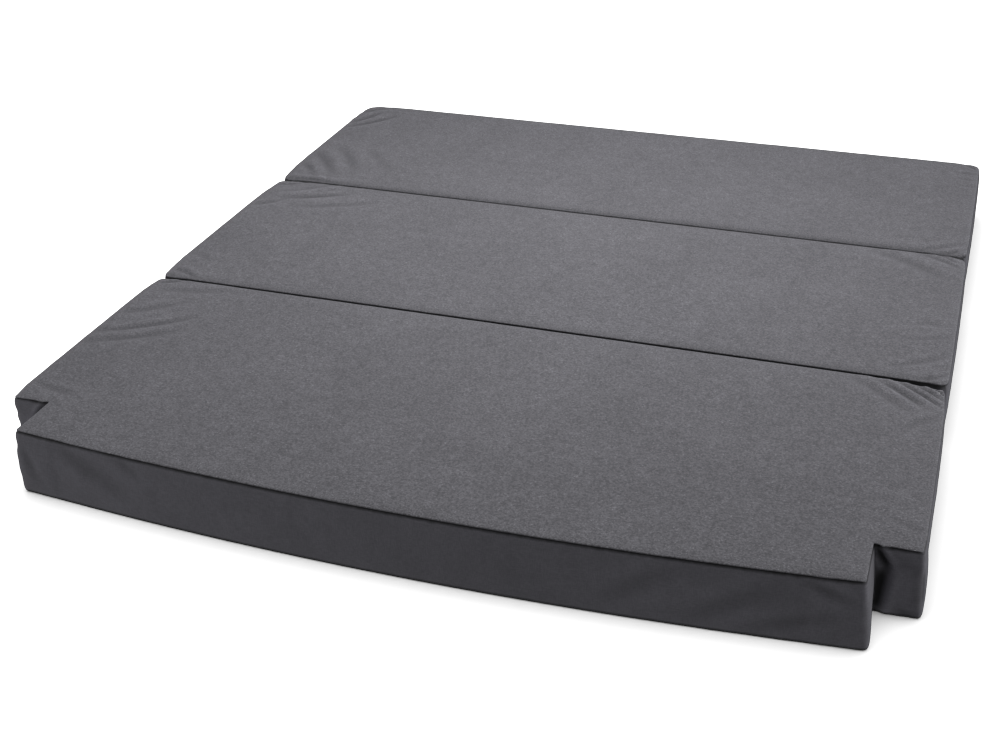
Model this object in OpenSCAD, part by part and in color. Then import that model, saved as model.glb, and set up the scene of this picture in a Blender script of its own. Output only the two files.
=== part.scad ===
// Three-panel folding futon mattress.
//
// Each panel is a foam block with a wadding sheet, inside a sewn cover of three
// fabric pieces: top, border and base. Two fabric strips join the panels in a
// Z fold: the rear panel to the middle one at their top edges, and the middle
// panel to the front one at their bottom edges. The front panel has a bowed
// front edge and a square notch at each front corner. A coil zip in the left
// wall of each border lets the foam out.
//
// X runs along the fold lines, Y from the front (-) to the rear (+), Z up.
// The origin is at the middle of the underside. All sizes are millimetres.

/* [Mattress] */
// Width, along the fold lines
width = 1600; // [1300:10:1800]
// Thickness of every panel
thickness = 130; // [90:5:160]
// Depth of the rear panel
rear_depth = 560; // [450:5:700]
// Depth of the middle panel
middle_depth = 575; // [450:5:700]
// Depth of the front panel's sides, from the fold to the notch
front_side_depth = 530; // [450:5:700]
// Gap between the covers of two panels at a fold
fold_gap = 5; // [4:0.5:10]

/* [Front edge] */
// How far the front edge bows out at its middle
front_bow = 40; // [10:5:80]
// Width of the notch at each front corner
notch_width = 75; // [50:5:120]
// Depth of the notch at each front corner
notch_depth = 100; // [60:5:160]
// Radius of the outer corners, seen from above
corner_r = 20; // [10:1:30]
// Radius inside a notch, seen from above
notch_r = 8; // [4:1:15]

/* [Cover and filling] */
// Thickness of the cover fabric
cover_t = 1.5; // [1:0.1:2]
// Thickness of the wadding sheet
wadding_t = 8; // [5:1:15]
// Space between the cover and what it holds
fill_gap = 0.3; // [0.2:0.1:1]

/* [Hinge strips] */
// Thickness of the hinge strip
strip_t = 1; // [0.6:0.1:1.4]
// Width of strip that is sewn in under each panel's edge
strip_allowance = 12; // [8:1:20]
// Distance from the end of a strip to the side of the mattress
strip_end = 28; // [24:1:60]

/* [Zips] */
// Distance from each end of a zip to the end of its wall
zip_end = 50; // [40:5:80]
// Height of the opening in the border that shows the zip
zip_opening = 12; // [11:0.5:14]
// Width of each fabric tape
tape_w = 14; // [12:1:16]
// Thickness of the tape
tape_t = 0.6; // [0.5:0.1:0.8]
// Width of each row of teeth
teeth_w = 2.4; // [2:0.1:2.6]
// Thickness of the rows of teeth
teeth_t = 2.2; // [1.8:0.1:2.4]

/* [Hidden] */
PANELS = ["rear", "middle", "front"];
PIECES = ["top_cover", "border", "base_cover", "wadding", "foam_core",
          "zip_tapes", "zip_teeth", "zip_stops", "zip_slider", "zip_pull"];
STRIPS = ["top_hinge_rear_half", "top_hinge_middle_half",
          "bottom_hinge_middle_half", "bottom_hinge_front_half"];

VELOUR = "dimgray";
WOVEN = "#3b3b3f";
WADDING = "whitesmoke";
FOAM = "#e9dfae";
NYLON = "#26262a";
NICKEL = "silver";

arc_steps = 6;       // flats in each rounded corner
bow_steps = 28;      // flats in the bowed front edge
eps = 0.01;
strip_split = 0.3;   // the line where the two halves of a strip meet
seat_room = 0.1;     // space round a strip where it is sewn in

// Fold lines and edges along Y
half_width = width / 2;
rear_y = (rear_depth + middle_depth + front_side_depth + notch_depth + front_bow) / 2;
rear_fold_y = rear_y - rear_depth;
front_fold_y = rear_fold_y - middle_depth;
notch_y = front_fold_y - front_side_depth;
front_corner_y = notch_y - notch_depth;

// The front edge is one arc through the tongue's two corners and the bow's tip
tongue_half = half_width - notch_width;
bow_r = (pow(tongue_half, 2) + pow(front_bow, 2)) / (2 * front_bow);
bow_centre_y = front_corner_y - front_bow + bow_r;

// Zip, slider and pull
zip_z = thickness / 2;
tape_x = -half_width + cover_t + 0.1;           // outer face of the tapes
chain_x = tape_x + tape_t / 2;                  // middle of the teeth
chain_split = 1.0;                              // space between the two rows of teeth
groove_h = 2 * tape_w + 4;
groove_x = chain_x + teeth_t / 2 + 2.2;         // floor of the groove in the foam
slider_l = 11;
slider_w = 8.4;
slider_gap = 0.3;                               // between a slider plate and the teeth
slider_t = 1;
slider_rib = 0.6;                               // the web that joins the slider's two plates
slider_x = chain_x - teeth_t / 2 - slider_gap;  // inner face of the slider's outer plate
bail_r = 0.5;
bail_x = slider_x - slider_t - 1.6;             // pivot of the pull
bail_half = 2.5;
eye_r = 1.2;
eye_w = 3;
pull_l = 24;
pull_w = 5;
pull_t = 1.2;
stop_l = 3;

// Ends of a panel along Y, and of its straight left wall
function back_y(panel) = panel == "rear" ? rear_y
                       : (panel == "middle" ? rear_fold_y : front_fold_y) - fold_gap / 2;
function front_y(panel) = panel == "rear" ? rear_fold_y + fold_gap / 2
                        : panel == "middle" ? front_fold_y + fold_gap / 2 : notch_y;
function zip_start(panel) = front_y(panel) + zip_end;
function zip_stop(panel) = back_y(panel) - zip_end;
function slider_y(panel) = zip_start(panel) + stop_l + 1 + slider_l / 2;

// Outlines, counterclockwise, each moved in from the cover's outer face by inset
function arc(x, y, r, from, to, steps = arc_steps) =
    [for (i = [0:steps]) let (a = from + (to - from) * i / steps) [x + r * cos(a), y + r * sin(a)]];

function mirrored(points) = [for (i = [len(points) - 1:-1:0]) [-points[i][0], points[i][1]]];

function block_outline(y0, y1, inset) =
    let (x = half_width - corner_r, r = corner_r - inset,
         right = concat(arc(x, y0 + corner_r, r, -90, 0), arc(x, y1 - corner_r, r, 0, 90)))
    concat(right, mirrored(right));

function front_outline(inset) =
    let (r = corner_r - inset,
         x = tongue_half - corner_r,
         reach = bow_r - corner_r,
         lean = asin(x / reach),
         right = concat(
             arc(0, bow_centre_y, bow_r - inset, -90, -90 + lean, bow_steps / 2),
             arc(x, bow_centre_y - sqrt(reach * reach - x * x), r, -90 + lean, 0),
             arc(tongue_half + notch_r, notch_y - notch_r, notch_r + inset, 180, 90),
             arc(half_width - corner_r, notch_y + corner_r, r, -90, 0),
             arc(half_width - corner_r, back_y("front") - corner_r, r, 0, 90)))
    concat(right, mirrored([for (i = [1:len(right) - 1]) right[i]]));

function outline(panel, inset) =
    panel == "front" ? front_outline(inset) : block_outline(front_y(panel), back_y(panel), inset);

module slab(panel, inset, z0, z1)
    translate([0, 0, z0]) linear_extrude(z1 - z0) polygon(outline(panel, inset));

// A box from one corner to the opposite one
module box(low, high) translate(low) cube(high - low);

// Cover and filling
module top_cover(panel) color(VELOUR) slab(panel, 0, thickness - cover_t, thickness);

module base_cover(panel) color(WOVEN) slab(panel, 0, 0, cover_t);

module border(panel)
    color(WOVEN) difference() {
        slab(panel, 0, cover_t, thickness - cover_t);
        slab(panel, cover_t, 0, thickness);
        box([-half_width - 1, zip_start(panel), zip_z - zip_opening / 2],
            [-half_width + cover_t + 1, zip_stop(panel), zip_z + zip_opening / 2]);
        strip_seats(panel);
    }

module wadding(panel)
    color(WADDING) difference() {
        slab(panel, cover_t + fill_gap, thickness - cover_t - wadding_t, thickness - cover_t);
        strip_seats(panel);
    }

module foam_core(panel)
    color(FOAM) difference() {
        slab(panel, cover_t + fill_gap, cover_t, thickness - cover_t - wadding_t);
        box([-half_width, zip_start(panel) - 8, zip_z - groove_h / 2],
            [groove_x, zip_stop(panel) + 8, zip_z + groove_h / 2]);
        strip_seats(panel);
    }

// Hinge strips: each half reaches from the fold line in under one panel's edge.
// side is 1 for the half behind the fold line and -1 for the half in front of it.
module strip_half(fold_y, side, z0, room) {
    y = [fold_y + side * (strip_split / 2 - room),
         fold_y + side * (fold_gap / 2 + strip_allowance + room)];
    box([-half_width + strip_end - room, min(y), z0 - room],
        [half_width - strip_end + room, max(y), z0 + strip_t + room]);
}

module top_hinge_half(side, room = 0)
    color(WOVEN) strip_half(rear_fold_y, side, thickness - cover_t - strip_t, room);

module bottom_hinge_half(side, room = 0)
    color(WOVEN) strip_half(front_fold_y, side, cover_t, room);

// The space a panel's cover and filling leave for the strips sewn in under its edges
module strip_seats(panel) {
    if (panel == "rear") top_hinge_half(1, seat_room);
    if (panel == "middle") {
        top_hinge_half(-1, seat_room);
        bottom_hinge_half(1, seat_room);
    }
    if (panel == "front") bottom_hinge_half(-1, seat_room);
}

// Zip: two tapes behind the border, a row of teeth on the edge of each, a stop
// at each end, and a slider that runs over the teeth with its pull
module zip_tapes(panel)
    color(NYLON) for (side = [-1, 1])
        translate([tape_x, zip_start(panel) - 6, zip_z])
            mirror([0, 0, side < 0 ? 1 : 0])
                translate([0, 0, chain_split / 2 + teeth_w + eps])
                    cube([tape_t, zip_stop(panel) - zip_start(panel) + 12, tape_w - teeth_w]);

module zip_teeth(panel)
    color(NYLON) for (side = [-1, 1])
        translate([chain_x - teeth_t / 2, zip_start(panel) + stop_l, zip_z + side * (chain_split + teeth_w) / 2])
            translate([0, 0, -teeth_w / 2])
                cube([teeth_t, zip_stop(panel) - zip_start(panel) - 2 * stop_l, teeth_w]);

module zip_stops(panel)
    color(NICKEL) for (y = [zip_start(panel), zip_stop(panel) - stop_l + eps])
        translate([chain_x - teeth_t / 2, y, zip_z - chain_split / 2 - teeth_w])
            cube([teeth_t, stop_l - eps, chain_split + 2 * teeth_w]);

module zip_slider(panel) {
    inner_x = slider_x + teeth_t + 2 * slider_gap;
    color(NICKEL) translate([0, slider_y(panel), zip_z]) {
        for (x = [slider_x - slider_t, inner_x])
            box([x, -slider_l / 2, -slider_w / 2], [x + slider_t, slider_l / 2, slider_w / 2]);
        box([slider_x - eps, 1, -slider_rib / 2], [inner_x + eps, slider_l / 2 - 1, slider_rib / 2]);
        for (side = [-1, 1])
            translate([0, 0, side * (bail_half - 0.4)])
                box([bail_x - bail_r, -1.2, -0.4], [slider_x - slider_t + eps, 1.2, 0.4]);
        translate([bail_x, 0, -bail_half]) cylinder(h = 2 * bail_half, r = bail_r, $fn = 48);
    }
}

module zip_pull(panel)
    color(NICKEL) translate([bail_x, slider_y(panel), zip_z]) difference() {
        union() {
            translate([0, 0, -eye_w / 2]) cylinder(h = eye_w, r = eye_r, $fn = 48);
            box([-pull_t / 2, 0, -eye_w / 2], [pull_t / 2, 6, eye_w / 2]);
            box([-pull_t / 2, 5, -pull_w / 2], [pull_t / 2, pull_l, pull_w / 2]);
        }
        translate([0, 0, -eye_w]) cylinder(h = 2 * eye_w, r = bail_r + 0.1, $fn = 48);
    }

for (panel = PANELS) {
    top_cover(panel);
    border(panel);
    base_cover(panel);
    wadding(panel);
    foam_core(panel);
    zip_tapes(panel);
    zip_teeth(panel);
    zip_stops(panel);
    zip_slider(panel);
    zip_pull(panel);
}
top_hinge_half(1);  // top_hinge_rear_half
top_hinge_half(-1);  // top_hinge_middle_half
bottom_hinge_half(1);  // bottom_hinge_middle_half
bottom_hinge_half(-1);  // bottom_hinge_front_half
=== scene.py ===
"""The looks of a three-panel folding mattress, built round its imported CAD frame.

Each panel's cover is one closed mesh. Cloth simulation blows it up against the foam and gathers its
seams, folds are pressed into its corners, and it is then cut along its seams into top, border and base
fabric.
"""
import math

import bpy
import numpy as np
from mathutils import Matrix, Vector, noise


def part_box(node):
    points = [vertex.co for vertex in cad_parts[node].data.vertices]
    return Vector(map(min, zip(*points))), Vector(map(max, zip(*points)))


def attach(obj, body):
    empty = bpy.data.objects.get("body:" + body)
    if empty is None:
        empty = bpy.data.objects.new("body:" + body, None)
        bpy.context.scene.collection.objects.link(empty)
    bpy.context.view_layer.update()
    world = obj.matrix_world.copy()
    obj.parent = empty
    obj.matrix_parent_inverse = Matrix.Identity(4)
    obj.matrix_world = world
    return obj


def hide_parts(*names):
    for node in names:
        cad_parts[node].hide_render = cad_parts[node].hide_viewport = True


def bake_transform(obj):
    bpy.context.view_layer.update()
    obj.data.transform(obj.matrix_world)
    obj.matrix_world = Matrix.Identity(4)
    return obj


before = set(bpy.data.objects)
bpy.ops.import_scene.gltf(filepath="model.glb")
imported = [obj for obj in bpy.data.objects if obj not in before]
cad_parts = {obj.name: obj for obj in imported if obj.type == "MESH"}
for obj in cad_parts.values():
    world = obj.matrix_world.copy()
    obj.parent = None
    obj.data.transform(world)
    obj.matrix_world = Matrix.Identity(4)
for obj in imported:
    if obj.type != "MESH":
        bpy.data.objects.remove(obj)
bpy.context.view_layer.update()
scene = bpy.context.scene

PANELS = ("rear", "middle", "front")
TOP, BORDER, BASE, OPENING = range(4)      # zones of a cover's faces

# Shape of the covers, in metres
HALF_WIDTH = float(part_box("middle_top_cover")[1][0])
CROWN_Z = float(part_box("middle_top_cover")[1][2])
HIGHEST_Z = CROWN_Z + 0.0004               # no fold rises past this, to stay below the rear fold's line
SEAM_Z = CROWN_Z - 0.0055                  # seam between top and border
BASE_SEAM_Z = 0.0030                       # seam between border and base
FOLD_CORNER_R = 0.017
NOTCH_CORNER_R = 0.009
NOTCH_WIDTH = 0.075
NOTCH_DEPTH = 0.100
BOW = 0.040                                # how far the front edge bows out
SWELL = 0.001                              # how far the sides swell between the folds
ZIP_Z = CROWN_Z / 2
ZIP_HEIGHT = 0.012                         # height of the opening in the border for the zip
ZIP_END = 0.050                            # from each end of the wall to the opening
ZIP_DIP = 0.0055                           # how far the border is drawn in along the zip
FABRIC_T = 0.0012


# Meshes

def coords(mesh):
    """The mesh's points as an array with a row for each."""
    flat = np.empty(len(mesh.vertices) * 3)
    mesh.vertices.foreach_get("co", flat)
    return flat.reshape(-1, 3)


def set_coords(mesh, points):
    mesh.vertices.foreach_set("co", np.ascontiguousarray(points, dtype=float).ravel())
    mesh.update()


def smoothstep(t):
    """A ramp from 0 to 1 with soft ends."""
    t = np.clip(t, 0, 1)
    return t * t * (3 - 2 * t)


def new_object(name, verts, faces, zones=None):
    """A mesh object in the scene, each face marked with its zone of the cover."""
    mesh = bpy.data.meshes.new(name)
    mesh.from_pydata([tuple(v) for v in verts], [], [tuple(f) for f in faces])
    mesh.update()
    if zones is not None:
        mesh.polygons.foreach_set("material_index", np.asarray(zones, dtype=np.int32))
    obj = bpy.data.objects.new(name, mesh)
    scene.collection.objects.link(obj)
    return obj


def shade_smooth(obj):
    obj.data.polygons.foreach_set("use_smooth", [True] * len(obj.data.polygons))


def graded(low, high, near, fine, coarse, stops=()):
    """Grid lines from low to high: close together beside both ends and every stop, wider between."""
    marks = sorted([low, high, *stops])
    lines = []
    for a, b in zip(marks, marks[1:]):
        first, last = a, b
        lines.append(a)
        for step in near:
            if last - first > 4 * step:
                first += step
                last -= step
                lines += [first, last]
        s = first
        while s < last - 1.5 * fine:
            s += fine + (coarse - fine) * float(smoothstep((min(s - low, high - s) - 0.03) / 0.22))
            if s < last - 0.6 * fine:
                lines.append(s)
    return np.array(sorted(lines + [high]))


# How far each corner of a panel's top drops and draws in, and over what distance, in metres
CORNER_SAG = {
    "rear": {("right", "front"): (0.0030, 0.002, 0.05), ("left", "front"): (0.0040, 0.003, 0.06),
             ("right", "back"): (0.0030, 0.002, 0.04), ("left", "back"): (0.0040, 0.003, 0.05)},
    "middle": {("right", "front"): (0.0025, 0.001, 0.05), ("left", "front"): (0.0030, 0.002, 0.05),
               ("right", "back"): (0.0030, 0.002, 0.04), ("left", "back"): (0.0035, 0.003, 0.07)},
    "front": {("right", "front"): (0.0015, 0.001, 0.03), ("left", "front"): (0.0025, 0.002, 0.03),
              ("right", "back"): (0.0060, 0.005, 0.08), ("left", "back"): (0.0030, 0.002, 0.05)},
}


class Plan:
    """One panel seen from above: its grid lines, which cells it has, and its outline."""

    def __init__(self, panel):
        low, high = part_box(f"{panel}_top_cover")
        self.panel = panel
        self.back = float(high[1])
        self.tongue = float(low[1]) + BOW if panel == "front" else None
        self.front = self.tongue + NOTCH_DEPTH if panel == "front" else float(low[1])
        self.zip = (self.front + ZIP_END, self.back - ZIP_END)

    def lines(self, near, fine, coarse):
        """The grid's lines along X and along Y."""
        if self.panel != "front":
            xs = graded(-HALF_WIDTH, HALF_WIDTH, near, fine, coarse)
            return xs, graded(self.front, self.back, near, fine, coarse, self.zip)
        half = HALF_WIDTH - NOTCH_WIDTH
        xs = graded(-HALF_WIDTH, HALF_WIDTH, near, fine, coarse, (-half, half))
        return xs, graded(self.tongue, self.back, near, fine, coarse, (self.front, *self.zip))

    def has(self, x, y):
        """False inside a notch."""
        return y > self.front or abs(x) < HALF_WIDTH - NOTCH_WIDTH

    def corners(self):
        """Outer corners as (x, y, side of x, side of y, radius)."""
        front_r = NOTCH_CORNER_R if self.panel == "front" else FOLD_CORNER_R
        ends = [(HALF_WIDTH, self.back, 1, 1, FOLD_CORNER_R), (HALF_WIDTH, self.front, 1, -1, front_r)]
        if self.panel == "front":
            ends.append((HALF_WIDTH - NOTCH_WIDTH, self.tongue, 1, -1, NOTCH_CORNER_R))
        return ends + [(-x, y, -sx, sy, r) for x, y, sx, sy, r in ends]

    def warp(self, x, y):
        """Rounds the corners, swells the sides between the folds and bows the front edge."""
        for cx, cy, sx, sy, r in self.corners():
            px = r - sx * (cx - x)
            py = r - sy * (cy - y)
            near = (px > 0) & (py > 0) & (px <= r + 1e-9) & (py <= r + 1e-9)
            scale = np.maximum(px, py) / np.maximum(np.hypot(px, py), 1e-9)
            x = np.where(near, cx - sx * r + sx * px * scale, x)
            y = np.where(near, cy - sy * r + sy * py * scale, y)
        along = np.clip((y - self.front) / (self.back - self.front), 0, 1)
        swell = SWELL * np.sin(math.pi * along) ** 0.7
        x = x + np.sign(x) * swell * smoothstep((np.abs(x) - 0.55) / 0.25)
        if self.panel == "front":
            half = HALF_WIDTH - NOTCH_WIDTH
            reach = np.clip((self.back - y) / (self.back - self.tongue), 0, None)
            y = y - BOW * np.clip(1 - (x / half) ** 2, 0, None) * reach ** 2
        return x, y


def cover_mesh(plan, name, lines, heights):
    """A closed box over the panel's plan: grids for the top and the base, and rows of wall between.
    Returns the object and the rows of points round its wall, from the base up."""
    xs, ys = lines
    cells = [(i, j) for i in range(len(xs) - 1) for j in range(len(ys) - 1)
             if plan.has((xs[i] + xs[i + 1]) / 2, (ys[j] + ys[j + 1]) / 2)]
    inside = set(cells)
    index = {}
    for i, j in cells:
        for key in ((i, j), (i + 1, j), (i + 1, j + 1), (i, j + 1)):
            index.setdefault(key, len(index))
    flat = np.array([(xs[i], ys[j]) for i, j in index])
    count = len(flat)
    faces, zones = [], []
    following = {}                         # each rim point and the next one, counterclockwise
    for i, j in cells:
        quad = [(i, j), (i + 1, j), (i + 1, j + 1), (i, j + 1)]
        faces += [[index[k] for k in quad], [index[k] + count for k in reversed(quad)]]
        zones += [TOP, BASE]
        for (di, dj), a, b in zip(((0, -1), (1, 0), (0, 1), (-1, 0)), quad, quad[1:] + quad[:1]):
            if (i + di, j + dj) not in inside:
                following[index[a]] = index[b]
    loop = [next(iter(following))]
    while following[loop[-1]] != loop[0]:
        loop.append(following[loop[-1]])
    loop = np.array(loop)
    x, y = plan.warp(flat[:, 0], flat[:, 1])
    verts = [np.column_stack([x, y, np.full(count, z)]) for z in (heights[-1], heights[0])]
    rows = [loop + count]
    for r, z in enumerate(heights[1:-1]):
        rows.append(2 * count + r * len(loop) + np.arange(len(loop)))
        verts.append(np.column_stack([x[loop], y[loop], np.full(len(loop), z)]))
    rows.append(loop)
    for r, (low, high) in enumerate(zip(rows, rows[1:])):
        at_zip = abs((heights[r] + heights[r + 1]) - 2 * ZIP_Z) < ZIP_HEIGHT
        for k in range(len(loop)):
            n = (k + 1) % len(loop)
            faces.append([low[k], low[n], high[n], high[k]])
            (ax, ay), (bx, by) = flat[loop[k]], flat[loop[n]]
            beside = max(ax, bx) < -HALF_WIDTH + 1e-6
            within = min(ay, by) > plan.zip[0] - 1e-6 and max(ay, by) < plan.zip[1] + 1e-6
            zones.append(OPENING if at_zip and beside and within else BORDER)
    return new_object(name, np.vstack(verts), faces, zones), rows


def nearest_on_outline(points, outline):
    """For each point, its distance in plan to the closed outline, and the outward direction there."""
    distance = np.full(len(points), 9.0)
    out = np.zeros((len(points), 2))
    foot = np.zeros((len(points), 2))
    for p, q in zip(outline, np.roll(outline, -1, axis=0)):
        d = q - p
        t = np.clip(((points - p) @ d) / (d @ d), 0, 1)
        on = p + t[:, None] * d
        gap = np.hypot(*(points - on).T)
        closer = gap < distance - 1e-12
        distance = np.where(closer, gap, distance)
        foot[closer] = on[closer]
        out[closer] = np.array([d[1], -d[0]]) / np.hypot(*d)
    away = foot - points
    clear = distance > 1e-5
    out[clear] = away[clear] / distance[clear, None]
    return distance, out


def at_fold(plan, y, out):
    """True where a wall faces the next panel across a fold."""
    behind = (out[:, 1] > 0.7) & (y > plan.back - 0.05) & (plan.panel != "rear")
    before = (out[:, 1] < -0.7) & (y < plan.front + 0.05) & (plan.panel != "front")
    return behind | before


def top_profile(plan, edge, out, ruffle):
    """How far out the top lies at a distance from its edge, and how far above the seam: a lip over the
    seam and a rise to the crown, or at the rear panel's front edge a roll into the fold."""
    lip = np.interp(edge, [0, 0.003, 0.007, 0.013, 0.020], [-0.0034, 0.0034, 0.0026, 0.0010, 0])
    rise = np.interp(edge, [0, 0.003, 0.007, 0.013, 0.030, 0.070],
                     [0, 0.0019, 0.0034, 0.0040, 0.0044, 0.0048])
    rolled = np.interp(edge, [0, 0.003, 0.007, 0.013, 0.026, 0.070],
                       [-0.0026, -0.0006, 0.0006, 0.0020, 0.0034, 0.0048])
    soft_edge = (out[:, 1] < -0.5) & (plan.panel == "rear")
    lip = np.where(soft_edge, lip - 0.0054 * np.exp(-edge / 0.008), lip)
    return lip + 0.0008 * ruffle, np.where(soft_edge, rolled, rise) + 0.0007 * ruffle


def wall_profile(plan, v, out, high, zip_side):
    """How far out the wall stands: full between its tucked seams, more so beside a notch, nearly flat at
    a fold, and drawn in along the zip."""
    x, y, z = v.T
    beside_notch = (plan.panel == "front") & (y < plan.front + 0.04) & (np.abs(x) > HALF_WIDTH - 0.15)
    fullness = np.where(beside_notch, 0.0048, 0.0020)
    full = fullness * np.sin(math.pi * high) ** 0.7 + 0.0004
    full -= 0.0034 * np.exp(-(SEAM_Z - z) / 0.0028) + 0.0012 * np.exp(-(z - BASE_SEAM_Z) / 0.0028)
    full = np.where(at_fold(plan, y, out), 0.25 * full - 0.0003, full)
    dip = ZIP_DIP * smoothstep(1 - np.abs(z - ZIP_Z) / 0.04)
    return np.where(zip_side, 0.3 * full - dip, full)


def sag_corners(plan, v, out, high):
    """Lowers the corners of the top and draws them in."""
    for (side, end), (drop, draw, reach) in CORNER_SAG[plan.panel].items():
        sx = 1 if side == "right" else -1
        corner = np.array([sx * HALF_WIDTH, plan.back if end == "back" else plan.front])
        gap = np.hypot(*(v[:, :2] - corner).T)
        sag = np.exp(-(gap / reach) ** 2) * high
        v[:, 2] -= drop * sag
        v[:, :2] -= out * (draw * sag)[:, None]


# The front panel's corners that lean out at the foot: their place in plan, how far to the right, and
# how far along the walls this reaches
FRONT_CORNER_LEAN = [
    (HALF_WIDTH - NOTCH_WIDTH, Plan("front").tongue, 0.014, 0.060),
    (HALF_WIDTH, Plan("front").front, 0.008, 0.060),
    (NOTCH_WIDTH - HALF_WIDTH, Plan("front").tongue, -0.005, 0.060),
    (-HALF_WIDTH, Plan("front").front, -0.007, 0.035),
]


def lean_corners(v, high):
    """Leans the front panel's corners out, most at the foot."""
    for x, y, lean, reach in FRONT_CORNER_LEAN:
        gap = np.hypot(v[:, 0] - x, v[:, 1] - y)
        v[:, 0] += lean * (1 - high) ** 1.3 * np.exp(-(gap / reach) ** 2)


def foam_hold(edge, high, top, base, along_zip, fold_wall):
    """How firmly the foam holds each point against the air: least in the middle of a wall and just
    inside the top's edge, most at the seams, the zip and the folds."""
    hold = np.where(top, 0.30 + 0.55 * smoothstep((edge - 0.01) / 0.12), 0.30 + 0.35 * (2 * high - 1) ** 2)
    hold = np.where(top, np.maximum(hold, 0.92 - 0.5 * smoothstep(edge / 0.02)), hold)
    hold = np.where((high > 0.93) | (high < 0.05), np.maximum(hold, 0.88), hold)
    hold = np.where(base, 0.7 + 0.3 * smoothstep(edge / 0.03), hold)
    hold = np.where(along_zip, 0.95, hold)
    return np.where(fold_wall & ~top & ~base, 0.9, hold)


def gathering(plan, v, edge, flat, seams):
    """How much each point's fabric is gathered in: fully at the seams, least near the corners."""
    corner = np.full(len(v), 9.0)
    for x, y, *_ in plan.corners():
        corner = np.minimum(corner, np.hypot(v[:, 0] - x, v[:, 1] - y))
    taut = 0.30 + 0.35 * smoothstep(corner / 0.22)
    slack = np.where(flat, np.maximum(taut, smoothstep((edge - 0.02) / 0.10)), 0.40)
    slack[seams] = 1.0
    return slack


def dress(plan, obj, rows):
    """Gives the box the profile of a filled cover: a rolled top edge, tucked seams and a full wall.
    Returns how firmly the foam holds each point, and how much each point's fabric is gathered."""
    v = coords(obj.data)
    edge, out = nearest_on_outline(v[:, :2], v[rows[-1]][:, :2].copy())
    top = v[:, 2] > SEAM_Z - 1e-4
    base = v[:, 2] < BASE_SEAM_Z + 1e-4
    high = np.clip((v[:, 2] - BASE_SEAM_Z) / (SEAM_Z - BASE_SEAM_Z), 0, 1)
    zip_side = (v[:, 0] < -HALF_WIDTH + 0.03) & (v[:, 1] > plan.front) & (v[:, 1] < plan.back)
    rim = np.zeros(len(v), dtype=bool)
    rim[np.concatenate(rows)] = True
    ruffle = np.array([noise.noise((55 * x, 55 * y, 9)) for x, y, _ in v]) * np.exp(-edge / 0.012)
    lip, rise = top_profile(plan, edge, out, ruffle)
    hem = np.interp(edge, [0, 0.003, 0.007, 0.013], [-0.0010, 0.0008, 0.0004, 0])
    shift = np.where(top, lip, np.where(base, hem, wall_profile(plan, v, out, high, zip_side)))
    shift = np.where(base & ~rim, 0, shift)
    base_z = BASE_SEAM_Z * (1 - smoothstep(edge / 0.007))
    v[:, :2] += out * shift[:, None]
    v[:, 2] = np.where(top, SEAM_Z + rise, np.where(base, base_z, v[:, 2]))
    sag_corners(plan, v, out, high)
    if plan.panel == "front":
        lean_corners(v, high)
    set_coords(obj.data, v)

    z = v[:, 2]
    fold_wall = at_fold(plan, v[:, 1], out)
    # The seam distance drives the painted seam shade in the materials; at a fold wall it is shrunk, so the
    # painted shade reaches further down the wall.
    up_wall = np.minimum(np.abs(SEAM_Z - z), np.abs(z - BASE_SEAM_Z)) * np.where(fold_wall, 0.35, 1)
    mark = obj.data.attributes.new("seam_distance", "FLOAT", "POINT")
    mark.data.foreach_set("value", np.where(top | base, edge, up_wall).astype(np.float32))
    hold = foam_hold(edge, high, top, base, zip_side & (np.abs(z - ZIP_Z) < 0.02), fold_wall)
    return hold, gathering(plan, v, edge, top | base, np.concatenate([rows[0], rows[-1]]))


def settle(obj, hold, slack, excess, gather, cap, frames=20, pressure=4.0):
    """Blows a cover up against the foam's hold on it, its seams gathered, and applies the result.
    No point moves further than the cap."""
    rest = coords(obj.data)
    for name, weights in (("hold", hold), ("slack", slack)):
        group = obj.vertex_groups.new(name=name)
        for i, w in enumerate(weights):
            group.add([i], float(w), "REPLACE")
    cloth = obj.modifiers.new("cloth", "CLOTH")
    values = {"quality": 5, "mass": 0.3, "tension_stiffness": 30, "compression_stiffness": 30,
              "shear_stiffness": 15, "bending_stiffness": 0.3, "vertex_group_mass": "hold",
              "pin_stiffness": 1.0, "vertex_group_shrink": "slack", "shrink_min": -excess,
              "shrink_max": gather, "use_pressure": True, "uniform_pressure_force": pressure}
    for key, value in values.items():
        setattr(cloth.settings, key, value)
    cloth.settings.effector_weights.gravity = 0
    cloth.collision_settings.use_collision = False
    cloth.point_cache.frame_start = 1
    cloth.point_cache.frame_end = frames
    for f in range(1, frames + 1):
        scene.frame_set(f)
    graph = bpy.context.evaluated_depsgraph_get()
    step = coords(obj.evaluated_get(graph).data) - rest
    obj.modifiers.remove(cloth)
    obj.vertex_groups.clear()
    scene.frame_set(1)
    length = np.linalg.norm(step, axis=1, keepdims=True)
    moved = rest + step * np.minimum(1, cap / np.maximum(length, 1e-9))
    moved[:, 2] = np.clip(moved[:, 2], 0, CROWN_Z + 0.0002)
    set_coords(obj.data, moved)


def subdivide(obj, rows):
    """One level of subdivision that keeps the seams crisp."""
    seams = set()
    for row in (rows[0], rows[-1]):
        seams |= {frozenset((int(a), int(b))) for a, b in zip(row, np.roll(row, -1))}
    crease = obj.data.attributes.new("crease_edge", "FLOAT", "EDGE")
    crease.data.foreach_set("value", [float(frozenset(e.vertices) in seams) for e in obj.data.edges])
    smooth = obj.modifiers.new("smooth", "SUBSURF")
    smooth.levels = smooth.render_levels = 1
    graph = bpy.context.evaluated_depsgraph_get()
    mesh = bpy.data.meshes.new_from_object(obj.evaluated_get(graph))
    obj.modifiers.remove(smooth)
    obj.data = mesh


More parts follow.
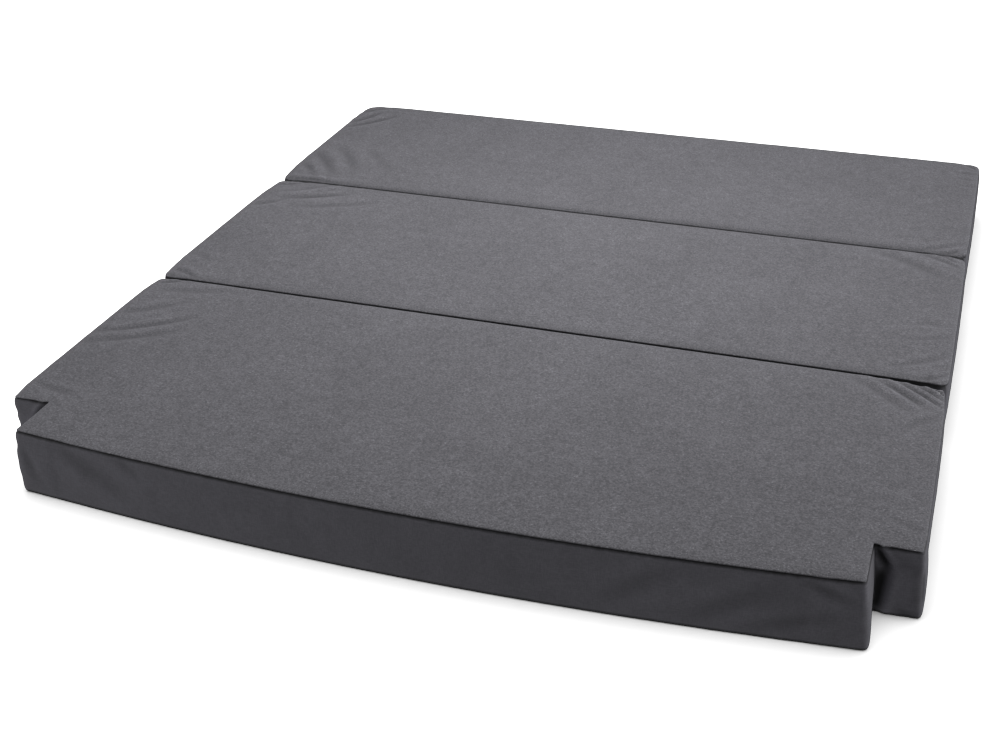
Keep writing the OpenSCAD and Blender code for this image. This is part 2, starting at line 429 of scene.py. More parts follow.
def cut(obj, zone, name):
    """The faces of one zone as an object of their own."""
    mesh = obj.data
    zones = np.empty(len(mesh.polygons), dtype=np.int32)
    mesh.polygons.foreach_get("material_index", zones)
    corners = np.empty(len(mesh.polygons) * 4, dtype=np.int32)
    mesh.polygons.foreach_get("vertices", corners)
    faces = corners.reshape(-1, 4)[zones == zone]
    used, renumbered = np.unique(faces, return_inverse=True)
    piece = new_object(name, coords(mesh)[used], renumbered.reshape(-1, 4).tolist())
    for mark in ("crease", "seam_distance"):
        values = np.empty(len(mesh.vertices), dtype=np.float32)
        mesh.attributes[mark].data.foreach_get("value", values)
        piece.data.attributes.new(mark, "FLOAT", "POINT").data.foreach_set("value", values[used])
    shade_smooth(piece)
    skin = piece.modifiers.new("fabric", "SOLIDIFY")
    skin.thickness = FABRIC_T
    skin.offset = -1
    return piece


# Folds pressed into a cover

def fold_depth(flat, path, depth, width):
    """How deep a groove with raised sides, along a path, goes at each point of a plane."""
    path = np.asarray(path, dtype=float)
    lengths = np.linalg.norm(np.diff(path, axis=0), axis=1)
    total = lengths.sum()
    reach = 4 * width
    within = (flat > path.min(axis=0) - reach) & (flat < path.max(axis=0) + reach)
    near = np.flatnonzero(np.all(within, axis=1))
    best = np.full(len(near), 9.0)
    along = np.zeros(len(near))
    start = 0.0
    for p, q, length in zip(path, path[1:], lengths):
        d = q - p
        t = np.clip(((flat[near] - p) @ d) / (d @ d), 0, 1)
        gap = np.linalg.norm(flat[near] - p - t[:, None] * d, axis=1)
        closer = gap < best
        best = np.where(closer, gap, best)
        along = np.where(closer, (start + t * length) / total, along)
        start += length
    ends = np.sin(math.pi * np.clip(along, 0.02, 0.98)) ** 0.6
    groove = np.exp(-(best / width) ** 2) - 0.5 * np.exp(-((best - 1.9 * width) / width) ** 2)
    result = np.zeros(len(flat))
    result[near] = depth * groove * ends
    return result


def curve_between(p, q, bend=0.0):
    """Seven points from p to q, bowed sideways by bend."""
    p, q = np.asarray(p, dtype=float), np.asarray(q, dtype=float)
    side = np.array([-(q - p)[1], (q - p)[0]])
    side /= np.linalg.norm(side)
    return [p + (q - p) * t + side * bend * math.sin(math.pi * t) for t in np.linspace(0, 1, 7)]


# Folds in the top fabric, each at a corner of a panel given by its sides: (along X, along Y) from the
# corner to where the fold starts, the same to where it ends, its bow, depth and width, in millimetres
TOP_FOLDS = {
    "front": {
        ("right", "back"): [
            ((30, 5), (5, 30), 3, 4.2, 4.5),
            ((62, 5), (5, 52), 5, 3.6, 5.5),
            ((92, 6), (6, 80), 6, 3.2, 6.0),
            ((128, 8), (30, 96), 4, 3.0, 8.0),
            ((175, 10), (60, 120), 5, 1.8, 11.0),
            ((8, 120), (70, 190), -8, 1.4, 10.0)],
        ("left", "back"): [
            ((5, 24), (60, 5), -4, 2.6, 6.0),
            ((4, 262), (170, 150), -8, 3.0, 9.0),
            ((8, 305), (160, 215), -6, 2.4, 10.0),
            ((6, 180), (120, 90), -6, 1.8, 11.0),
            ((20, 60), (180, 24), -6, 1.6, 12.0)],
        ("left", "front"): [((5, 60), (120, 30), -3, 1.6, 9.0)],
        ("right", "front"): [((5, 50), (80, 90), 3, 1.2, 9.0)],
    },
    "middle": {
        ("right", "back"): [
            ((54, 4), (16, 34), 2, 3.2, 4.5),
            ((95, 8), (8, 62), 5, 2.0, 8.0),
            ((190, 20), (40, 120), 8, 2.0, 16.0)],
        ("right", "front"): [
            ((60, 5), (6, 40), -4, 2.0, 7.0),
            ((110, 40), (8, 110), -5, 1.6, 8.0),
            ((90, 160), (8, 190), -5, 1.5, 8.0),
            ((100, 220), (10, 235), 4, 1.2, 9.0)],
        ("left", "back"): [
            ((8, 30), (70, 6), -4, 2.4, 6.0),
            ((40, 92), (160, 8), -8, -2.4, 8.0),
            ((50, 112), (210, 40), -8, 3.0, 10.0),
            ((110, 150), (280, 80), -6, 1.8, 13.0),
            ((4, 170), (70, 120), -4, 2.0, 9.0)],
        ("left", "front"): [
            ((6, 40), (80, 8), 4, 2.2, 7.0),
            ((8, 120), (70, 90), 4, 1.3, 9.0)],
    },
    "rear": {
        ("right", "front"): [
            ((60, 5), (5, 44), -4, 2.2, 6.0),
            ((120, 8), (10, 70), -6, 1.7, 9.0)],
        ("right", "back"): [
            ((40, 5), (6, 36), 3, 2.0, 6.0),
            ((4, 70), (60, 66), 2, 1.4, 6.0),
            ((4, 110), (52, 104), 2, 1.3, 6.0),
            ((4, 150), (46, 150), 2, 1.2, 6.0)],
        ("left", "front"): [
            ((8, 16), (150, 9), 4, 2.4, 6.5),
            ((6, 110), (76, 28), 6, 2.2, 10.0),
            ((2, 195), (118, 42), 8, 2.4, 13.0),
            ((50, 240), (160, 76), 8, 2.0, 14.0),
            ((130, 230), (230, 110), 8, 1.3, 15.0)],
        ("left", "back"): [
            ((3, 150), (56, 46), -6, 3.2, 8.0),
            ((3, 186), (110, 60), -8, 2.8, 9.0),
            ((60, 8), (8, 60), -6, 2.2, 8.0)],
    },
}

# Folds in the border on the tongue's front wall: how far along X and up the wall each starts and ends,
# its depth and its width, in millimetres
FRONT_WALL_FOLDS = [
    ((-640, 118), (-560, 60), 1.6, 14),
    ((-600, 112), (-500, 40), 1.3, 16),
    ((-520, 122), (-470, 90), 1.2, 9),
    ((330, 30), (450, 108), 1.3, 16),
    ((470, 24), (600, 96), 1.6, 15),
    ((560, 18), (690, 60), 1.4, 12),
    ((640, 116), (712, 88), 2.2, 8),
    ((-715, 100), (-690, 30), 1.8, 10),
]
# The same on a notch's inner wall, along X from the tongue. A fold of less than no depth is a soft ridge.
NOTCH_FOLDS = [
    ((46, 98), (46, 26), -4.0, 20),
    ((9, 96), (9, 4), 7.0, 10),
    ((1, 124), (26, 90), 8.5, 6),
    ((23, 94), (19, 48), 6.0, 8),
    ((19, 52), (12, 4), 5.0, 8),
    ((44, 16), (72, 8), 2.0, 7),
]
NOTCH_FOLD_STRENGTH = {1: 1.0, -1: 0.6}     # at the right notch and the left one
# How much painted shade darkens the top where a panel's front edge rolls into the fold, as a fold's depth
# in metres added to the crease mark only
ROLLED_EDGE_SHADE = {"rear": 0.0040, "middle": 0.0016}


def top_folds(plan, points):
    """How deep the folds in a panel's top fabric go at each point."""
    depths = np.zeros(len(points))
    for (side, end), folds in TOP_FOLDS[plan.panel].items():
        sx = 1 if side == "right" else -1
        x0 = sx * HALF_WIDTH
        y0, sy = (plan.back, 1) if end == "back" else (plan.front, -1)
        for start, stop, bow, depth, width in folds:
            ends = [(x0 - sx * a / 1000, y0 - sy * b / 1000) for a, b in (start, stop)]
            path = curve_between(*ends, bow / 1000)
            depths += fold_depth(points[:, :2], path, depth / 1000, width / 1000)
    return depths


def wall_folds(points, folds, x0=0.0, sx=1):
    """How deep the folds in a wall that faces front go, placed along X from x0 towards the side sx."""
    depths = np.zeros(len(points))
    for start, stop, depth, width in folds:
        path = [(x0 + sx * x / 1000, z / 1000) for x, z in (start, stop)]
        depths += fold_depth(points[:, [0, 2]], path, depth / 1000, width / 1000)
    return depths


def corner_ridges(plan, points):
    """The uneven ridges where the border turns the corners that face front."""
    depths = np.zeros(len(points))
    for x, y, sx, sy, r in plan.corners():
        if sy > 0:
            continue
        edge = np.array([x - 0.3 * sx * r, y - 0.3 * sy * r])
        gap = np.hypot(*(points[:, :2] - edge).T)
        wavy = np.array([noise.noise((x, y, 48 * z)) for z in points[:, 2]])
        depths -= (0.0013 + 0.0030 * wavy) * np.exp(-(gap / 0.0065) ** 2)
    return depths


def press_folds(plan, obj):
    """Presses the folds into a cover, and marks how deep each point lies in them, in millimetres; the
    materials turn the mark into painted shade in folds and painted highlight on ridges.
    """
    mesh = obj.data
    points = coords(mesh)
    normals = np.empty(len(mesh.vertices) * 3)
    mesh.vertices.foreach_get("normal", normals)
    normals = normals.reshape(-1, 3)
    top = normals[:, 2] > 0.5
    crease = top * top_folds(plan, points)
    if plan.panel == "front":
        half = HALF_WIDTH - NOTCH_WIDTH
        facing = normals[:, 1] < -0.5
        on_tongue = points[:, 1] < plan.tongue + 0.03
        crease += (facing & on_tongue) * wall_folds(points, FRONT_WALL_FOLDS)
        for sx, strength in NOTCH_FOLD_STRENGTH.items():
            notch = facing & ~on_tongue & (sx * points[:, 0] > half - 0.01)
            crease += notch * strength * wall_folds(points, NOTCH_FOLDS, sx * half, sx)
        crease += (np.abs(normals[:, 2]) < 0.5) * corner_ridges(plan, points)
    points -= normals * crease[:, None]
    points[:, 2] = np.clip(points[:, 2], 0, HIGHEST_Z)
    set_coords(mesh, points)
    # Painted shade only: the mark is raised along the rolled front edge, which is not pressed in any
    # further.
    if plan.panel in ROLLED_EDGE_SHADE:
        crease += top * ROLLED_EDGE_SHADE[plan.panel] * np.exp(-((points[:, 1] - plan.front) / 0.016) ** 2)
    mark = mesh.attributes.new("crease", "FLOAT", "POINT")
    mark.data.foreach_set("value", (1000 * crease).astype(np.float32))


# Materials

class Nodes:
    """A principled material with helpers that add procedural detail, in metres on the object."""

    def __init__(self, name, colour, roughness, metallic=0.0, sheen=0.0, sheen_tint=(1, 1, 1)):
        self.material = bpy.data.materials.new(name)
        self.material.use_nodes = True
        self.tree = self.material.node_tree
        self.shader = self.tree.nodes["Principled BSDF"]
        self.set("Base Color", (*colour, 1))
        self.set("Roughness", roughness)
        self.set("Metallic", metallic)
        self.set("Sheen Weight", sheen)
        self.set("Sheen Roughness", 0.5)
        self.set("Sheen Tint", (*sheen_tint, 1))
        self.place = self.add("ShaderNodeTexCoord").outputs["Object"]
        self.colour = None
        self.height = None

    def set(self, socket, value):
        """Sets a socket of the shader itself."""
        self.shader.inputs[socket].default_value = value

    def add(self, kind, **values):
        """A node with its sockets or its settings set by name."""
        node = self.tree.nodes.new(kind)
        for key, value in values.items():
            if key in node.inputs:
                node.inputs[key].default_value = value
            else:
                setattr(node, key, value)
        return node

    def join(self, output, socket):
        self.tree.links.new(output, socket)

    def noise(self, scale, detail=2.0, stretch=(1, 1, 1)):
        """Noise with features about 1/scale metres across, as a socket from 0 to 1."""
        mapping = self.add("ShaderNodeMapping", Scale=stretch)
        self.join(self.place, mapping.inputs["Vector"])
        texture = self.add("ShaderNodeTexNoise", Scale=scale, Detail=detail, Roughness=0.6)
        self.join(mapping.outputs["Vector"], texture.inputs["Vector"])
        return texture.outputs["Fac"]

    def threads(self, pitch):
        """Fine uneven threads both ways, about a pitch apart, as a socket from 0 to 1."""
        warp = self.noise(0.7 / pitch, 1, (1, 1, 0.12))
        weft = self.noise(0.7 / pitch, 1, (0.12, 0.12, 1))
        return self.maths("MULTIPLY_ADD", warp, 0.5, self.maths("MULTIPLY", weft, 0.5))

    def mark(self, name, wobble=0.0, scale=90):
        """A value marked on the mesh's points, made uneven by noise."""
        value = self.add("ShaderNodeAttribute", attribute_name=name).outputs["Fac"]
        if wobble == 0.0:
            return value
        return self.maths("MULTIPLY_ADD", self.maths("SUBTRACT", self.noise(scale), 0.5), wobble, value)

    def maths(self, operation, a, b, c=None):
        """A maths node's result, from sockets or plain numbers."""
        node = self.add("ShaderNodeMath", operation=operation)
        for socket, value in zip(node.inputs, (a, b, c)):
            if value is None:
                continue
            if isinstance(value, (int, float)):
                socket.default_value = value
            else:
                self.join(value, socket)
        return node.outputs[0]

    def tone(self, factor, low, high, lowest=0.3, highest=0.7):
        """Lightens or darkens the colour from low to high as factor goes from lowest to highest."""
        scale = self.add("ShaderNodeMapRange")
        for key, value in (("From Min", lowest), ("From Max", highest), ("To Min", low), ("To Max", high)):
            scale.inputs[key].default_value = value
        self.join(factor, scale.inputs["Value"])
        mix = self.add("ShaderNodeVectorMath", operation="SCALE")
        if self.colour is None:
            mix.inputs[0].default_value = self.shader.inputs["Base Color"].default_value[:3]
        else:
            self.join(self.colour, mix.inputs[0])
        self.join(scale.outputs["Result"], mix.inputs["Scale"])
        self.colour = mix.outputs["Vector"]

    def raise_by(self, factor, amount):
        """Adds amount metres of relief where factor is 1."""
        term = self.maths("MULTIPLY", factor, amount)
        self.height = term if self.height is None else self.maths("ADD", self.height, term)

    def done(self, strength=1.0):
        """Joins the colour and the relief to the shader, and returns the material."""
        if self.colour is not None:
            self.join(self.colour, self.shader.inputs["Base Color"])
        if self.height is not None:
            bump = self.add("ShaderNodeBump", Strength=strength, Distance=1.0)
            self.join(self.height, bump.inputs["Height"])
            self.join(bump.outputs["Normal"], self.shader.inputs["Normal"])
        return self.material


def velour():
    """Brushed mélange velour with pale flecks, painted shade along the seam and in the folds, painted
    highlight on fold ridges, and a lighter band on the lip that is partly rubbed wear and partly painted
    highlight.
    """
    m = Nodes("melange_velour", (0.124, 0.1215, 0.134), 0.92, sheen=0.2, sheen_tint=(0.9, 0.9, 1.0))
    speckle = m.noise(290, 2)
    flecks = m.noise(430, 1)
    fibres = m.noise(150, 3, (1, 5, 1))
    m.tone(speckle, 0.72, 1.28, 0.38, 0.62)
    m.tone(flecks, 1.0, 1.7, 0.60, 0.71)
    m.tone(fibres, 0.88, 1.12, 0.38, 0.62)
    m.tone(m.noise(40, 2), 0.92, 1.08)
    m.tone(m.noise(6, 2), 0.94, 1.06)
    # Painted shade: a dark line where the seam's valley lies; above it a lighter band on the lip, partly
    # rubbed wear and partly painted highlight.
    seam = m.mark("seam_distance", 0.003)
    m.tone(seam, 0.25, 1.0, 0.0004, 0.0026)
    m.tone(seam, 1.22, 1.0, 0.0022, 0.0075)
    # Painted shade in the folds and painted highlight on their ridges, read from the crease mark.
    m.tone(m.mark("crease"), 1.20, 0.55, -1.6, 4.0)
    m.raise_by(speckle, 0.0010)
    m.raise_by(fibres, 0.0006)
    m.raise_by(m.noise(1300, 2), 0.0004)
    return m.done(0.6)


def woven(name, colour, pitch, relief=0.0003):
    """Woven cover fabric, with painted shade along its seams and in its folds, and painted highlight on
    ridges.
    """
    m = Nodes(name, colour, 0.8, sheen=0.15, sheen_tint=(0.95, 0.95, 1.0))
    threads = m.threads(pitch)
    m.tone(threads, 0.86, 1.12, 0.4, 0.6)
    m.tone(m.noise(7, 2), 0.94, 1.06)
    m.tone(m.noise(30, 2), 0.96, 1.04)
    # Painted shade: the fabric darkened nearly to black within a few millimetres of each seam, where the
    # seam's groove lies.
    m.tone(m.mark("seam_distance", 0.0025), 0.06, 1.0, 0.0010, 0.0050)
    # Painted shade in the folds and painted highlight on ridges, read from the crease mark.
    m.tone(m.mark("crease"), 1.28, 0.04, -2.5, 7.0)
    m.raise_by(threads, relief)
    return m.done(0.7)


def plain_weave(name, colour, pitch):
    """Narrow woven tape."""
    m = Nodes(name, colour, 0.8, sheen=0.15, sheen_tint=(0.95, 0.95, 1.0))
    threads = m.threads(pitch)
    m.tone(threads, 0.80, 1.20, 0.4, 0.6)
    m.tone(m.noise(7, 2), 0.94, 1.06)
    m.raise_by(threads, 0.0003)
    return m.done(0.7)


def foam_look():
    m = Nodes("open_cell_foam", (0.80, 0.72, 0.45), 0.95)
    cells = m.add("ShaderNodeTexVoronoi", Scale=900.0)
    m.join(m.place, cells.inputs["Vector"])
    m.tone(cells.outputs["Distance"], 0.82, 1.05, 0.0, 0.6)
    m.tone(m.noise(6, 2), 0.95, 1.05)
    m.raise_by(cells.outputs["Distance"], 0.0007)
    return m.done()


def wadding_look():
    m = Nodes("polyester_wadding", (0.84, 0.84, 0.82), 0.95, sheen=0.3)
    strands = m.noise(240, 4, (1, 3, 1))
    m.tone(strands, 0.88, 1.06)
    m.tone(m.noise(20, 2), 0.95, 1.04)
    m.raise_by(strands, 0.0012)
    return m.done()


def thread_look():
    m = Nodes("seam_thread", (0.035, 0.035, 0.04), 0.65, sheen=0.2)
    twist = m.noise(1800, 1, (1, 1, 3))
    m.tone(twist, 0.8, 1.3)
    m.raise_by(twist, 0.0002)
    return m.done()


def nylon_look():
    m = Nodes("zip_nylon", (0.022, 0.022, 0.026), 0.42)
    m.tone(m.noise(500, 2), 0.85, 1.2)
    m.raise_by(m.noise(2500, 2), 0.00005)
    return m.done()


def coated_metal():
    m = Nodes("black_coated_metal", (0.045, 0.045, 0.05), 0.34, metallic=0.85)
    m.tone(m.noise(350, 3), 0.8, 1.35)
    m.raise_by(m.noise(1600, 2), 0.00004)
    return m.done()


MATERIALS = {
    "top_fabric": velour(),
    "border_fabric": woven("smooth_border_weave", (0.126, 0.1225, 0.142), 0.0008),
    "base_fabric": woven("base_weave", (0.045, 0.045, 0.052), 0.0016, relief=0.0006),
    "strip_fabric": plain_weave("strip_weave", (0.014, 0.014, 0.017), 0.0012),
    "zip_tape": plain_weave("zip_tape_weave", (0.028, 0.028, 0.033), 0.0007),
    "foam": foam_look(),
    "wadding": wadding_look(),
    "thread": thread_look(),
    "zip_nylon": nylon_look(),
    "zip_metal": coated_metal(),
}


def finish_piece(obj, slot, material, body, *nodes):
    """Gives a piece its material and body, and hides the CAD nodes that it stands for. The slot is not
    used.
    """
    obj.data.materials.clear()
    obj.data.materials.append(MATERIALS[material])
    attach(obj, body)
    if nodes:
        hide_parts(*nodes)


# The three panels

# The cover's grid, in metres: its first steps in from an edge, and its heights up the wall
NEAR_EDGES = (0.003, 0.004, 0.006)
WALL_HEIGHTS = (BASE_SEAM_Z, 0.0042, 0.0065, 0.011, 0.020, 0.031, 0.045, 0.059, 0.071, 0.085, 0.098, 0.108,
                0.115, SEAM_Z - 0.005, SEAM_Z - 0.0025, SEAM_Z - 0.001, SEAM_Z)


def make_filling(panel, piece, slot, low, high, inset, lump):
    """A foam or wadding block inside the cover, with softened edges and a slightly uneven top."""
    plan = Plan(panel)
    soft = min(0.006, (high - low) / 3)
    levels = (low, low + soft, (low + high) / 2, high - soft, high)
    block, rows = cover_mesh(plan, f"{panel}_{piece}_block", plan.lines((0.010,), 0.018, 0.05), levels)
    v = coords(block.data)
    edge, out = nearest_on_outline(v[:, :2], v[rows[-1]][:, :2].copy())
    flush = (v[:, 2] > high - 1e-6) | (v[:, 2] < low + 1e-6)
    v[:, :2] -= out * ((inset + soft * flush) * (1 - smoothstep(edge / 0.09)))[:, None]
    uneven = np.array([noise.noise((6 * x, 6 * y, low)) for x, y, _ in v])
    v[:, 2] += np.where(v[:, 2] > high - 1e-6, lump * (uneven - 1), 0)
    set_coords(block.data, v)
    shade_smooth(block)
    smooth = block.modifiers.new("smooth", "SUBSURF")
    smooth.levels = smooth.render_levels = 1
    finish_piece(block, slot, slot, f"{panel}_panel", f"{panel}_{piece}")


# The strips that join two panels across a fold, in metres
STRIP_HALF_WIDTH = HALF_WIDTH - 0.028
STRIP_REACH = 0.0075                       # to each side of the fold line
STRIP_T = 0.0009


def make_strip(name, fold_y, height, dip, nodes):
    """A fabric strip sewn between two panels' seams, dipping in the gap. A dip of less than
    nothing is a rise."""
    across = np.linspace(-STRIP_REACH, STRIP_REACH, 9)
    along = np.linspace(-STRIP_HALF_WIDTH, STRIP_HALF_WIDTH, 161)
    verts, faces = [], []
    for layer in (0, -STRIP_T):
        for x in along:
            ripple = 0.0003 * noise.noise((x * 30, fold_y, 0))
            for y in across:
                sink = dip * (1 - (y / STRIP_REACH) ** 2)
                verts.append((x, fold_y + y, height + layer - sink + ripple))
    wide, count = len(across), len(across) * len(along)
    for i in range(len(along) - 1):
        for j in range(wide - 1):
            a = i * wide + j
            quad = [a, a + wide, a + wide + 1, a + 1]
            faces += [quad, [k + count for k in reversed(quad)]]
    rim = ([(i * wide, (i + 1) * wide) for i in range(len(along) - 1)]
           + [((i + 1) * wide + wide - 1, i * wide + wide - 1) for i in range(len(along) - 1)]
           + [(j + 1, j) for j in range(wide - 1)]
           + [(count - wide + j, count - wide + j + 1) for j in range(wide - 1)])
    faces += [[b, a, a + count, b + count] for a, b in rim]
    strip = new_object(name, verts, faces)
    shade_smooth(strip)
    strip.data.materials.append(MATERIALS["strip_fabric"])
    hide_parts(*nodes)
    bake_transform(strip)


def resample(points, pitch, closed=True):
    """Points a pitch apart along a polyline, each with the direction there."""
    points = np.asarray(points, dtype=float)
    if closed:
        points = np.vstack([points, points[:1]])
    lengths = np.concatenate([[0], np.cumsum(np.linalg.norm(np.diff(points, axis=0), axis=1))])
    count = int(lengths[-1] / pitch)
    at = (np.arange(count) + 0.5) * lengths[-1] / count
    place = np.column_stack([np.interp(at, lengths, points[:, k]) for k in range(3)])
    ahead = np.column_stack([np.interp(at + 0.001, lengths, points[:, k]) for k in range(3)])
    behind = np.column_stack([np.interp(at - 0.001, lengths, points[:, k]) for k in range(3)])
    direction = ahead - behind
    return place, direction / np.maximum(np.linalg.norm(direction, axis=1, keepdims=True), 1e-9)


def spindle(place, ahead, length, radius, first):
    """The points and faces of one stitch, with its points numbered from first."""
    rings = ((-0.5, 0.35), (-0.25, 1.0), (0.25, 1.0), (0.5, 0.35))
    sides = 5
    side = np.cross(ahead, (0, 0, 1.0))
    side /= max(np.linalg.norm(side), 1e-9)
    up = np.cross(side, ahead)
    verts, faces = [], []
    for t, size in rings:
        for k in range(sides):
            a = 2 * math.pi * k / sides
            verts.append(place + ahead * length * t
                         + radius * size * (math.cos(a) * side + math.sin(a) * up))
    for r in range(len(rings) - 1):
        for k in range(sides):
            n = (k + 1) % sides
            a, b = first + r * sides, first + (r + 1) * sides
            faces.append([a + k, b + k, b + n, a + n])
    faces.append([first + k for k in range(sides)])
    faces.append([first + (len(rings) - 1) * sides + k for k in reversed(range(sides))])
    return verts, faces


def stitches(name, lines, pitch, length, radius, body):
    """Lock stitches along lines of (points, closed), each a small spindle of thread."""
    verts, faces = [], []
    for points, closed in lines:
        for place, ahead in zip(*resample(points, pitch, closed)):
            more_verts, more_faces = spindle(place, ahead, length, radius, len(verts))
            verts += more_verts
            faces += more_faces
    thread = new_object(name, verts, faces)
    shade_smooth(thread)
    finish_piece(thread, "strip_fabric", "thread", body)


def zip_coil(panel):
    """Two nylon coils, one on each tape, whose turns mesh at the middle."""
    pitch, per_turn = 0.0014, 8
    wire, sides = 0.00035, 4
    clearance = 0.00012
    (x0, y0, z0), (x1, y1, z1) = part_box(f"{panel}_zip_teeth")
    middle_x, middle_z = (x0 + x1) / 2, (z0 + z1) / 2
    reach = (z1 - z0) / 4
    count = int((y1 - y0) / pitch * per_turn)
    verts, faces = [], []
    for side in (-1, 1):
        first = len(verts)
        for i in range(count + 1):
            a = 2 * math.pi * i / per_turn
            y = y0 + (y1 - y0) * i / count + (pitch / 2 if side > 0 else 0)
            radial = np.array([math.cos(a), 0, math.sin(a)])
            centre = np.array([middle_x + ((x1 - x0) / 2 - wire) * math.cos(a), min(y, y1 - wire),
                               middle_z + side * (reach + clearance) + (reach - wire) * math.sin(a)])
            for k in range(sides):
                b = 2 * math.pi * k / sides
                verts.append(centre + wire * (math.cos(b) * radial + math.sin(b) * np.array([0, 1, 0])))
        for i in range(count):
            for k in range(sides):
                n = (k + 1) % sides
                a, b = first + i * sides, first + (i + 1) * sides
                faces.append([a + k, a + n, b + n, b + k])
        faces.append([first + k for k in reversed(range(sides))])
        faces.append([first + count * sides + k for k in range(sides)])
    coil = new_object(f"{panel}_zip_coils", verts, faces)
    shade_smooth(coil)
    finish_piece(coil, "zip_nylon", "zip_nylon", f"{panel}_panel", f"{panel}_zip_teeth")


def sew(panel, cover, rows):
    """The stitches along a cover's two seams and along both sides of its zip."""
    body = f"{panel}_panel"
    v = coords(cover.data)
    seams = [(v[rows[0]], True), (v[rows[-1]], True)]
    stitches(f"{panel}_seam_stitches", seams, pitch=0.0045, length=0.0040, radius=0.00035, body=body)
    beside_zip = []
    for side in (-1, 1):
        z = ZIP_Z + side * (ZIP_HEIGHT / 2 + 0.003)
        beside_zip.append(([(-HALF_WIDTH - 0.0003, y, z) for y in Plan(panel).zip], False))
    stitches(f"{panel}_zip_stitches", beside_zip, pitch=0.0035, length=0.0026, radius=0.0004, body=body)


def make_cover(panel):
    """A panel's cover, shaped, blown up and folded as one mesh, then cut into its three fabrics."""
    plan = Plan(panel)
    cover, rows = cover_mesh(plan, f"{panel}_cover", plan.lines(NEAR_EDGES, 0.006, 0.016), WALL_HEIGHTS)
    hold, slack = dress(plan, cover, rows)
    settle(cover, hold, slack, excess=0.012, gather=0.012, cap=0.008)
    subdivide(cover, rows)
    press_folds(plan, cover)
    outline = coords(cover.data)[rows[-1]][:, :2]
    following = np.roll(outline, -1, axis=0)
    area = float(abs(np.sum(outline[:, 0] * following[:, 1] - outline[:, 1] * following[:, 0])) / 2)
    girth = float(np.linalg.norm(following - outline, axis=1).sum())
    low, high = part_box(f"{panel}_top_cover")
    panel_size = {"flat": (float(high[0] - low[0]), float(high[1] - low[1])), "area": area}
    border_size = {"flat": (girth, SEAM_Z - BASE_SEAM_Z)}
    for zone, name, node, size in ((TOP, "top_fabric", "top_cover", panel_size),
                                   (BORDER, "border_fabric", "border", border_size),
                                   (BASE, "base_fabric", "base_cover", panel_size)):
        piece = cut(cover, zone, f"{panel}_{name}")
        finish_piece(piece, name, name, f"{panel}_panel", f"{panel}_{node}")
    sew(panel, cover, rows)
    bpy.data.objects.remove(cover)


def dress_zip(panel):
    """The coils, and the materials of the zip's CAD pieces."""
    zip_coil(panel)
    for node, slot in (("zip_tapes", "zip_tape"), ("zip_stops", "zip_metal"), ("zip_slider", "zip_metal"),
                       ("zip_pull", "zip_metal")):
        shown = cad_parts[f"{panel}_{node}"]
        shown.data.materials.clear()
        shown.data.materials.append(MATERIALS[slot])


for panel in PANELS:
    make_filling(panel, "foam_core", "foam", low=0.0035, high=0.1135, inset=0.010, lump=0.0004)
    make_filling(panel, "wadding", "wadding", low=0.1140, high=0.1215, inset=0.012, lump=0.0012)
    make_cover(panel)
    dress_zip(panel)

rear_fold = (Plan("rear").front + Plan("middle").back) / 2
front_fold = (Plan("middle").front + Plan("front").back) / 2
make_strip("top_fold_strip", rear_fold, height=SEAM_Z - 0.0024, dip=0.0028,
           nodes=("top_hinge_rear_half", "top_hinge_middle_half"))
make_strip("bottom_fold_strip", front_fold, height=BASE_SEAM_Z + 0.0020, dip=-0.0015,
           nodes=("bottom_hinge_middle_half", "bottom_hinge_front_half"))


# Floor, light and camera

def make_floor():
    """A plain pale floor that shows only the shadow on it."""
    floor = new_object("floor", [(-9, -9, 0), (9, -9, 0), (9, 9, 0), (-9, 9, 0)], [(0, 1, 2, 3)])
    floor.data.materials.append(Nodes("floor", (0.9, 0.9, 0.9), 0.9).material)
    floor.is_shadow_catcher = True
    floor.visible_diffuse = False
    floor.visible_glossy = False
    return floor


def make_light(name, place, size, power):
    """A round soft lamp, aimed at the origin."""
    lamp = bpy.data.lights.new(name, "AREA")
    lamp.shape = "DISK"
    lamp.size = size
    lamp.energy = power
    obj = bpy.data.objects.new(name, lamp)
    scene.collection.objects.link(obj)
    obj.location = place
    obj.rotation_euler = Vector(place).to_track_quat("Z", "Y").to_euler()
    return obj


def make_floor_light(spread, strength):
    """Light from straight above, for a soft shadow close to the mattress."""
    lamp = bpy.data.lights.new("floor_light", "SUN")
    lamp.angle = spread
    lamp.energy = strength
    obj = bpy.data.objects.new("floor_light", lamp)
    scene.collection.objects.link(obj)
    return obj


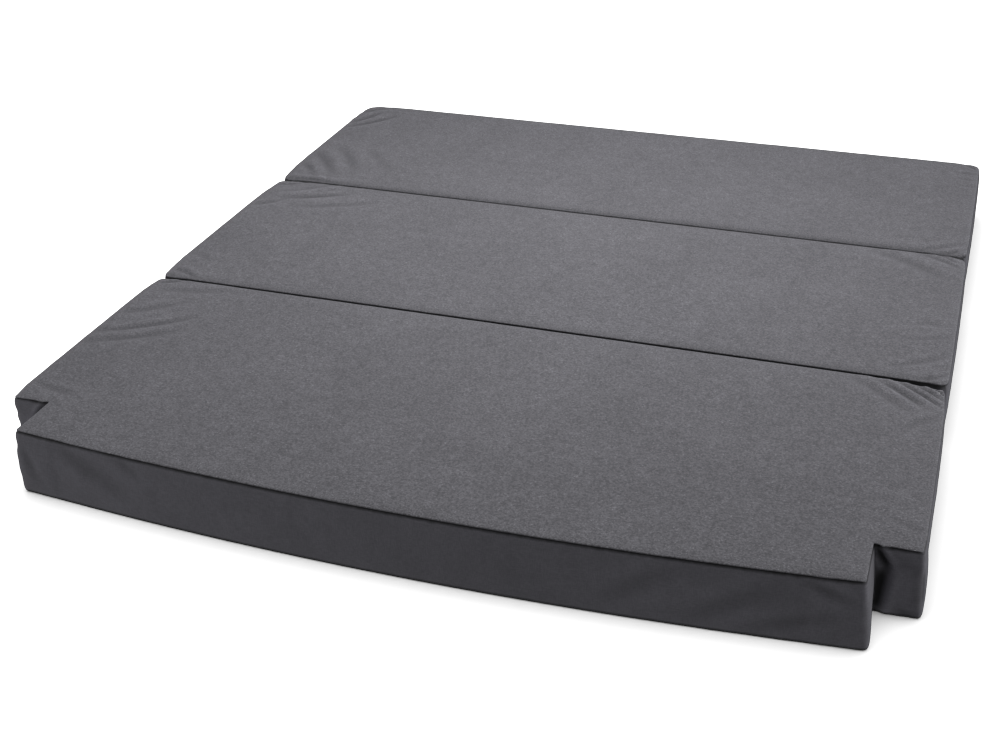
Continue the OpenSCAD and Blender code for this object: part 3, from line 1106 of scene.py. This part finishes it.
def link_lights(floor, lamps, floor_light):
    """Keeps the lamps off the floor, and the floor's light off everything else."""
    all_but_floor = bpy.data.collections.new("all_but_floor")
    all_but_floor.objects.link(floor)
    all_but_floor.collection_objects[0].light_linking.link_state = "EXCLUDE"
    for lamp in lamps:
        lamp.light_linking.receiver_collection = all_but_floor
    only_floor = bpy.data.collections.new("only_floor")
    only_floor.objects.link(floor)
    floor_light.light_linking.receiver_collection = only_floor


def make_camera(place, yaw, pitch, roll, lens):
    """A camera at the photo's angle: yaw to the left of straight ahead, pitch below the level."""
    data = bpy.data.cameras.new("camera")
    data.sensor_width = 36.0
    data.lens = lens
    data.clip_end = 50
    camera = bpy.data.objects.new("camera", data)
    scene.collection.objects.link(camera)
    turn = (Matrix.Rotation(yaw, 4, "Z") @ Matrix.Rotation(math.pi / 2 - pitch, 4, "X")
            @ Matrix.Rotation(roll, 4, "Z"))
    camera.matrix_world = Matrix.Translation(place) @ turn
    scene.camera = camera


def make_world(light, backdrop):
    """An even white studio: light on the object, and a brighter backdrop behind it."""
    world = bpy.data.worlds.new("studio")
    world.use_nodes = True
    tree = world.node_tree
    shade = tree.nodes["Background"]
    shade.inputs["Color"].default_value = (1, 1, 1, 1)
    path = tree.nodes.new("ShaderNodeLightPath")
    pick = tree.nodes.new("ShaderNodeMix")
    pick.inputs["A"].default_value = light
    pick.inputs["B"].default_value = backdrop
    tree.links.new(path.outputs["Is Camera Ray"], pick.inputs["Factor"])
    tree.links.new(pick.outputs["Result"], shade.inputs["Strength"])
    scene.world = world


# Each lamp's place, diameter in metres and power in watts
LIGHTS = {
    "above": ((0.0, 0.45, 1.9), 1.0, 30),
    "right": ((3.4, 0.0, 0.40), 0.9, 36),
    "left_front": ((-2.4, -2.6, 1.1), 1.0, 16),
}

floor = make_floor()
lamps = [make_light(name, *values) for name, values in LIGHTS.items()]
link_lights(floor, lamps, make_floor_light(spread=math.radians(70), strength=10))
make_camera((0.788, -2.688, 1.455), yaw=math.radians(18.86), pitch=math.radians(29.04),
            roll=math.radians(-0.88), lens=53.64)
make_world(light=0.225, backdrop=1.4)
scene.view_settings.view_transform = "Standard"
